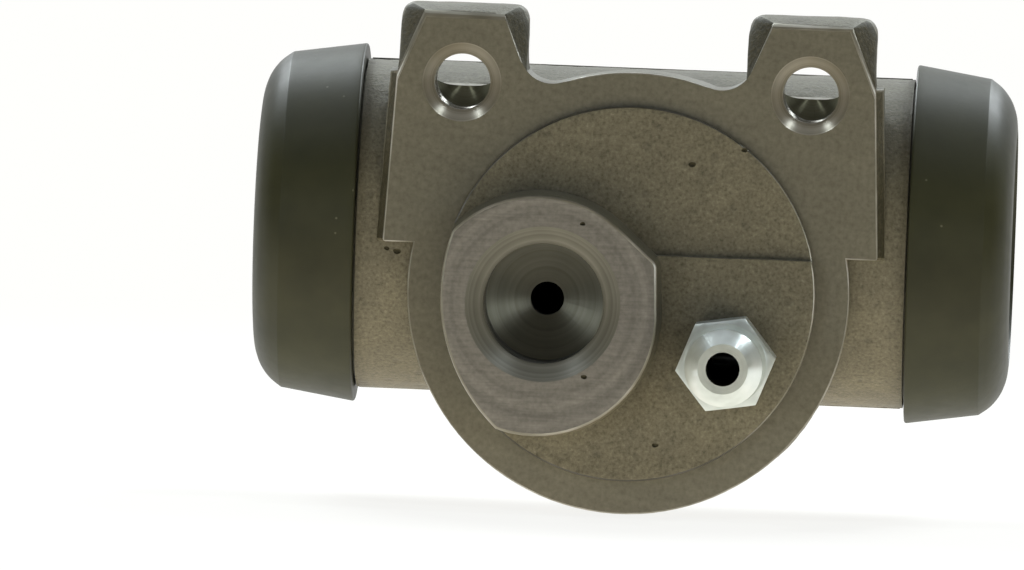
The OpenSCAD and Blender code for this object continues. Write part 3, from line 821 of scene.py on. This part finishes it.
sand_holes = (
    (583, 224, boss_y, 0.27), (584, 377, boss_y, 0.30), (692, 165, -0.7 * mm, 0.35),
    (387, 248, 1.2 * mm, 0.26), (397, 251, 1.2 * mm, 0.40), (745, 150, -0.7 * mm, 0.3),
    (655, 445, -1.7 * mm, 0.3),
)
squash = Matrix.Diagonal((1.0, 0.8, 0.75, 1.0))
ragged_scale = 2500
ragged_reach = 0.12
ragged_seed = 1
shape = bmesh.new()
for column, row, depth, size in sand_holes:
    spot = Matrix.Translation(point_at_pixel(column, row, depth))
    bmesh.ops.create_icosphere(shape, subdivisions=2, radius=size * mm, matrix=spot @ squash)
noise.seed_set(ragged_seed)
for corner in shape.verts:
    corner.co += noise.noise_vector(corner.co * ragged_scale) * ragged_reach * mm
# The sand holes are lined with the near-black skin of painted shade
cut_away(housing, shape_object("sand_holes", shape, (shade_painted_skin,)))

# Uneven skin that the sand mould leaves on every cast face, and the ears' soft edges
slice_step = 0.7 * mm
ear_rounds = 24
fine_scale, fine_reach = 700, 0.045
slow_scale, slow_reach = 160, 0.10
most_lean = 0.35
shape = bmesh.new()
shape.from_mesh(housing.data)
rough_finishes = (CAST, SCALE)
rough_faces = [face for face in shape.faces if face.material_index in rough_finishes]
bmesh.ops.triangulate(shape, faces=rough_faces)
for axis, low, high in ((0, -25.0, 25.0), (2, -20.0, 26.0), (1, -5.5, 31.0)):
    direction_of_cut = Vector((axis == 0, axis == 1, axis == 2))
    level = low * mm
    while level < high * mm:
        faces = [face for face in shape.faces if face.material_index in rough_finishes]
        edges = {edge for face in faces for edge in face.edges}
        corners = {corner for face in faces for corner in face.verts}
        bmesh.ops.bisect_plane(
            shape, geom=list(corners) + list(edges) + faces, dist=slack,
            plane_co=direction_of_cut * level, plane_no=direction_of_cut,
        )
        level += slice_step
rough_corners = [
    corner for corner in shape.verts
    if all(face.material_index in rough_finishes for face in corner.link_faces)
]
ear_corners = [corner for corner in rough_corners if corner.co.z > ear_start]
for _ in range(ear_rounds):
    bmesh.ops.smooth_vert(
        shape, verts=ear_corners, factor=0.5, use_axis_x=True, use_axis_y=True, use_axis_z=True,
    )
shape.normal_update()
moves = {}
for corner in rough_corners:
    fine = noise.noise(corner.co * fine_scale) * fine_reach * mm
    slow = noise.noise(corner.co * slow_scale) * slow_reach * mm
    moves[corner] = corner.normal * (fine + slow)
for corner, move in moves.items():
    corner.co += move
shape.to_mesh(housing.data)
shape.free()
shade_evenly(housing)
corner_normals = [corner.vector.copy() for corner in housing.data.corner_normals]
for polygon in housing.data.polygons:
    if polygon.material_index != EDGE:
        for corner in polygon.loop_indices:
            if (corner_normals[corner] - polygon.normal).length > most_lean:
                corner_normals[corner] = polygon.normal.copy()
housing.data.normals_split_custom_set(corner_normals)
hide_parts("housing")
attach(housing, "housing")

# Parting flash: the thin ridge of iron that is left where the two halves of the sand mould met.
# It runs along the barrel's top and bottom as part of the casting, and its edge is ragged.
flash_tree, flash_in, flash_out = geometry_tree("parting_flash", {
    "Start": "Vector", "End": "Vector", "Width": "Float", "Spacing": "Float", "Material": "Material",
})
path = add_node(flash_tree, "GeometryNodeCurvePrimitiveLine", {
    "Start": flash_in["Start"], "End": flash_in["End"],
}).outputs[0]
steps = {"Curve": path, "Length": flash_in["Spacing"]}
path = add_node(flash_tree, "GeometryNodeResampleCurve", steps, {"mode": "LENGTH"}).outputs[0]
place = add_node(flash_tree, "GeometryNodeInputPosition").outputs[0]
ragged = add_node(flash_tree, "ShaderNodeTexNoise", {"Vector": place, "Scale": 900.0, "Detail": 3.0})
reach = add_node(flash_tree, "ShaderNodeMapRange", {
    "Value": ragged.outputs["Fac"], "From Min": 0.3, "From Max": 0.7, "To Min": 0.45, "To Max": 1.25,
}).outputs[0]
path = add_node(flash_tree, "GeometryNodeSetCurveRadius", {"Curve": path, "Radius": reach}).outputs[0]
section = add_node(flash_tree, "GeometryNodeCurvePrimitiveCircle", {
    "Resolution": 6, "Radius": flash_in["Width"],
}).outputs[0]
ridge = add_node(flash_tree, "GeometryNodeCurveToMesh", {
    "Curve": path, "Profile Curve": section, "Fill Caps": True,
}).outputs[0]
end_tree(flash_tree, ridge, flash_in["Material"], flash_out[0])
barrel_r = 15.2 * mm
flash_x = 25.0 * mm
for name, side in (("top_flash", 1), ("bottom_flash", -1)):
    flash_z = bore_z + side * barrel_r
    flash = grown(name, flash_tree, {
        "Start": (-flash_x, bore_y, flash_z), "End": (flash_x, bore_y, flash_z), "Width": 0.10 * mm,
        "Spacing": 0.3 * mm, "Material": cast_skin,
    })
    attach(flash, "housing")

# Bleed screw: turned from hexagon bar with a hose nipple in front, drilled through and bright zinc plated.
# It screws into its own hole in the flange, and its cone closes the passage to the bore.
bright_zinc, tree = new_material("bright_zinc")
grain = metal_grain(tree, 0.5 * mm, 2.5 * mm)
marks = ring_marks(tree, 0.11 * mm, bleed)
colour = colour_ramp(tree, grain["Blotch"], (
    (0.3, (0.51, 0.57, 0.57)), (0.5, (0.61, 0.68, 0.68)), (0.7, (0.69, 0.75, 0.76)),
))
colour = varied(tree, colour, marks["Broad"], 0.88, 1.1)
finish(tree, {
    "Base Color": colour,
    "Metallic": 0.72,
    "Roughness": value_range(tree, grain["Grain"], 0.27, 0.32),
    "Normal": bumped(tree, marks["Fine"], 0.008 * mm, 0.6),
})

# Painted shade: the drilled passage of the nipple is near-black for the shade deep inside it
passage_shade, tree = new_material("passage_shade")
grain = metal_grain(tree, 0.5 * mm, 2 * mm)
colour = colour_ramp(tree, grain["Blotch"], ((0.3, (0.020, 0.017, 0.010)), (0.7, (0.045, 0.040, 0.026))))
finish(tree, {
    "Base Color": colour,
    "Metallic": 0.4,
    "Roughness": value_range(tree, grain["Grain"], 0.5, 0.7),
})


def piece_with_broken_edges(name, node, width, materials, finish_of_face):
    """A copy of a CAD node with its sharp outer edges rounded a little, in place of the node"""
    shape = merged_copy(node)
    for face in shape.faces:
        face.material_index = finish_of_face(face)
    weights = shape.edges.layers.float.new("bevel_weight_edge")
    for edge in shape.edges:
        outside = any(face.material_index == 0 for face in edge.link_faces)
        if outside and edge.is_convex and edge.calc_face_angle() > sharp_angle:
            edge[weights] = 1.0
    piece = shape_object(name, shape, materials)
    break_edges(piece, width)
    shade_evenly(piece)
    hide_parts(node)
    return piece


passage_r = 1.6 * mm
nipple_tip = -15 * mm


def screw_finish(face):
    """Plated outside, near-black with painted shade in the drilled passage"""
    middle = face.calc_center_bounds()
    reach = max(math.hypot(corner.co.x - bleed.x, corner.co.z - bleed.z) for corner in face.verts)
    return int(reach < passage_r and middle.y > nipple_tip)


screw = piece_with_broken_edges(
    "plated_bleed_screw", "bleed_screw", 0.12 * mm, (bright_zinc, passage_shade), screw_finish
)
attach(screw, "bleed_screw")

# Pistons: turned from aluminium bar, each with a neck for the boot's lip and a slot for a brake shoe's web.
# They slide in the bore, each with its cup and its expander behind it.
turned_aluminium, tree = new_material("turned_aluminium")
grain = metal_grain(tree, 0.5 * mm, 3 * mm)
marks = ring_marks(tree, 0.14 * mm, (0, bore_y, bore_z), (0, 1, 1), (0.7, 0, 0))
colour = colour_ramp(tree, marks["Broad"], ((0.3, (0.42, 0.42, 0.42)), (0.7, (0.55, 0.55, 0.56))))
colour = varied(tree, colour, grain["Blotch"], 0.9, 1.1)
finish(tree, {
    "Base Color": colour,
    "Metallic": 1.0,
    "Roughness": value_range(tree, grain["Grain"], 0.26, 0.38),
    "Normal": bumped(tree, marks["Fine"], 0.015 * mm, 0.8),
})
for side in ("left", "right"):
    piston = piece_with_broken_edges(
        side + "_turned_piston", side + "_piston", 0.15 * mm, (turned_aluminium,), lambda face: 0
    )
    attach(piston, side + "_piston")

# Cup seals: moulded rubber cups behind the pistons, with their lips against the bore.
# They lie loose on the pistons' inner faces, and the spring presses them there.
rubber, group_in, group_out = new_group(
    "moulded_rubber", {"Fleck Size": 1.2 * mm, "Bloom Size": 6 * mm}, ("Skin", "Fleck", "Bloom")
)
for title, key, detail in (("Skin", "Fleck Size", 4.0), ("Bloom", "Bloom Size", 3.0)):
    field = add_node(rubber, "ShaderNodeTexNoise", {
        **spaced(rubber, group_in, key), "Detail": detail, "Roughness": 0.65,
    })
    rubber.links.new(field.outputs["Fac"], group_out.inputs[title])
cells = add_node(rubber, "ShaderNodeTexVoronoi", spaced(rubber, group_in, "Fleck Size"))
fleck = eased(rubber, cells.outputs["Distance"], 0.05, 0.10, 1.0, 0.0)
chance = add_node(rubber, "ShaderNodeSeparateColor", {0: cells.outputs["Color"]}).outputs[0]
kept = math_node(rubber, "GREATER_THAN", chance, 0.85)
fleck = math_node(rubber, "MULTIPLY", fleck, kept)
rubber.links.new(fleck, group_out.inputs["Fleck"])

cup_rubber, tree = new_material("cup_rubber")
skin = use_group(tree, rubber, {"Fleck Size": 1.4 * mm, "Bloom Size": 5 * mm})
colour = colour_ramp(tree, skin["Bloom"], ((0.3, (0.018, 0.018, 0.019)), (0.7, (0.032, 0.032, 0.033))))
finish(tree, {
    "Base Color": colour,
    "Roughness": value_range(tree, skin["Skin"], 0.32, 0.46),
    "Normal": bumped(tree, skin["Skin"], 0.01 * mm, 0.5),
})


def coat_pair(name, material):
    """A material on the left and the right CAD node of a name"""
    for side in ("left", "right"):
        materials = frame["nodes"][side + name].data.materials
        materials.clear()
        materials.append(material)


coat_pair("_cup_seal", cup_rubber)

# Cup expanders: pressed steel dishes that hold the lips of the cups open and take the ends of the spring.
# Nothing fastens them: the spring holds each one in its cup.
pressed_steel, tree = new_material("pressed_steel")
grain = metal_grain(tree, 0.4 * mm, 3 * mm)
colour = colour_ramp(tree, grain["Blotch"], ((0.3, (0.44, 0.42, 0.36)), (0.7, (0.60, 0.57, 0.50))))
finish(tree, {
    "Base Color": colour,
    "Metallic": 1.0,
    "Roughness": value_range(tree, grain["Grain"], 0.25, 0.4),
    "Normal": bumped(tree, grain["Grain"], 0.01 * mm, 0.5),
})
coat_pair("_cup_expander", pressed_steel)

# Return spring: one coil of drawn steel wire with closed end turns, between the two expanders.
# It is made in two halves from the middle, one reaching out to each piston.
drawn_wire, tree = new_material("drawn_wire")
grain = metal_grain(tree, 0.3 * mm, 4 * mm)
colour = colour_ramp(tree, grain["Blotch"], ((0.3, (0.40, 0.41, 0.43)), (0.7, (0.58, 0.59, 0.61))))
finish(tree, {
    "Base Color": colour,
    "Metallic": 1.0,
    "Roughness": value_range(tree, grain["Grain"], 0.24, 0.36),
})
coil, coil_in, coil_out = geometry_tree("half_coil", {
    "Reach": "Float", "Coil Radius": "Float", "Wire Radius": "Float", "Turns": "Float",
    "Closed Turns": "Float", "Material": "Material",
})
line = add_node(coil, "GeometryNodeCurvePrimitiveLine", {"End": (1, 0, 0)}).outputs[0]
steps = {"Curve": line, "Count": 220}
line = add_node(coil, "GeometryNodeResampleCurve", steps, {"mode": "COUNT"}).outputs[0]
share = add_node(coil, "GeometryNodeSplineParameter").outputs["Factor"]
turned = math_node(coil, "MULTIPLY", share, coil_in["Turns"])
open_turns = math_node(coil, "SUBTRACT", coil_in["Turns"], coil_in["Closed Turns"])
wire_wide = math_node(coil, "MULTIPLY", coil_in["Wire Radius"], 2.0)
closed_length = math_node(coil, "MULTIPLY", coil_in["Closed Turns"], wire_wide)
open_length = math_node(coil, "SUBTRACT", coil_in["Reach"], closed_length)
open_share = math_node(coil, "DIVIDE", math_node(coil, "MINIMUM", turned, open_turns), open_turns)
closed_part = math_node(coil, "MAXIMUM", math_node(coil, "SUBTRACT", turned, open_turns), 0.0)
along = math_node(
    coil, "ADD", math_node(coil, "MULTIPLY", open_share, open_length),
    math_node(coil, "MULTIPLY", closed_part, wire_wide),
)
angle = math_node(coil, "MULTIPLY", turned, 2 * math.pi)
across = math_node(coil, "MULTIPLY", math_node(coil, "COSINE", angle), coil_in["Coil Radius"])
upward = math_node(coil, "MULTIPLY", math_node(coil, "SINE", angle), coil_in["Coil Radius"])
place = add_node(coil, "ShaderNodeCombineXYZ", {0: along, 1: across, 2: upward}).outputs[0]
line = add_node(coil, "GeometryNodeSetPosition", {"Geometry": line, "Position": place}).outputs[0]
section = add_node(coil, "GeometryNodeCurvePrimitiveCircle", {
    "Resolution": 12, "Radius": coil_in["Wire Radius"],
}).outputs[0]
wire = add_node(coil, "GeometryNodeCurveToMesh", {
    "Curve": line, "Profile Curve": section, "Fill Caps": True,
}).outputs[0]
end_tree(coil, wire, coil_in["Material"], coil_out[0])
wire_r = 0.55 * mm
coil_r = 5.45 * mm - wire_r
spring_end = 13.95 * mm
for side, sign in (("left", -1), ("right", 1)):
    half = grown(side + "_half_spring", coil, {
        "Reach": spring_end - wire_r, "Coil Radius": coil_r, "Wire Radius": wire_r, "Turns": 3.5,
        "Closed Turns": 0.75, "Material": drawn_wire,
    })
    turn_over = Matrix.Identity(4) if sign > 0 else Matrix.Rotation(math.pi, 4, "Y")
    half.data.transform(Matrix.Translation((0, bore_y, bore_z)) @ turn_over)
    for polygon in half.data.polygons:
        polygon.use_smooth = True
    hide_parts("return_spring")
    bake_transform(half)

# Dust boots: one moulded rubber cap over each end of the barrel, with a bead in the barrel's groove.
# Its web runs inwards to a lip in the piston's neck.
boot_rubber, tree = new_material("boot_rubber")
skin = use_group(tree, rubber, {"Fleck Size": 1.5 * mm, "Bloom Size": 7 * mm})
colour = colour_ramp(tree, skin["Bloom"], ((0.3, (0.015, 0.017, 0.006)), (0.7, (0.023, 0.025, 0.010))))
pale = colour_ramp(tree, skin["Fleck"], ((0.0, (0, 0, 0)), (1.0, (0.05, 0.05, 0.042))))
colour = vector_node(tree, "ADD", colour, pale)
finish(tree, {
    "Base Color": colour,
    "Roughness": value_range(tree, skin["Skin"], 0.40, 0.54),
    "Specular IOR Level": 0.30,
    "Normal": bumped(tree, skin["Skin"], 0.03 * mm, 0.5),
})


def rounded_outline(corners, step):
    """Points along a closed outline of (radius, station, rounding) corners, no more than a step apart"""
    arc_steps = 6
    most_of_side = 0.45
    points = []
    for index, (r, x, rounding) in enumerate(corners):
        here = Vector((r, x))
        before = Vector(corners[index - 1][:2]) - here
        after = Vector(corners[(index + 1) % len(corners)][:2]) - here
        half_angle = before.angle(after) / 2
        if rounding and half_angle < math.radians(89):
            back = min(rounding / math.tan(half_angle), most_of_side * min(before.length, after.length))
            start = here + before.normalized() * back
            stop = here + after.normalized() * back
            for k in range(arc_steps + 1):
                t = k / arc_steps
                points.append(start * (1 - t) ** 2 + here * 2 * t * (1 - t) + stop * t ** 2)
        else:
            points.append(here)
    outline = []
    for index, point in enumerate(points):
        ahead = points[(index + 1) % len(points)]
        pieces = max(1, math.ceil((ahead - point).length / step))
        outline.extend(point.lerp(ahead, k / pieces) for k in range(pieces))
    return outline


def turned_ring(name, corners, sign, step, material):
    """A closed outline turned about the bore's axis, on the left or the right end of the barrel"""
    outline = rounded_outline(corners, step)
    sides = 144
    ring = turned_piece(
        name, outline, Vector((0, bore_y, bore_z)), Vector((sign, 0, 0)), sides, (material,)
    )
    ring.data.set_sharp_from_angle(angle=math.radians(40))
    return ring


sleeve_outline = (
    (14.38, 25.45, 0.2), (16.6, 25.45, 0.25), (15.55, 32.3, 0.3), (14.75, 33.42, 8.0), (13.6, 34.28, 8.0),
    (12.2, 34.78, 8.0), (10.9, 34.9, 0.0), (12.0, 33.4, 0.0), (13.28, 33.4, 0.3), (14.38, 30.78, 0.2),
    (14.38, 28.37, 0.0), (13.6, 28.37, 0.25), (13.6, 26.53, 0.25), (14.38, 26.53, 0.0),
)
web_outline = (
    (10.9, 34.9, 0.0), (8.4, 28.54, 0.6), (6.28, 28.54, 0.35), (6.28, 26.66, 0.35), (8.675, 26.66, 0.8),
    (12.0, 33.4, 0.0),
)
for side, sign in (("left", -1), ("right", 1)):
    sleeve = turned_ring(side + "_boot_sleeve", sleeve_outline, sign, 0.6, boot_rubber)
    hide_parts(side + "_dust_boot")
    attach(sleeve, "housing")
    web = turned_ring(side + "_boot_web", web_outline, sign, 0.35, boot_rubber)
    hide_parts(side + "_dust_boot")
    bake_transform(web)
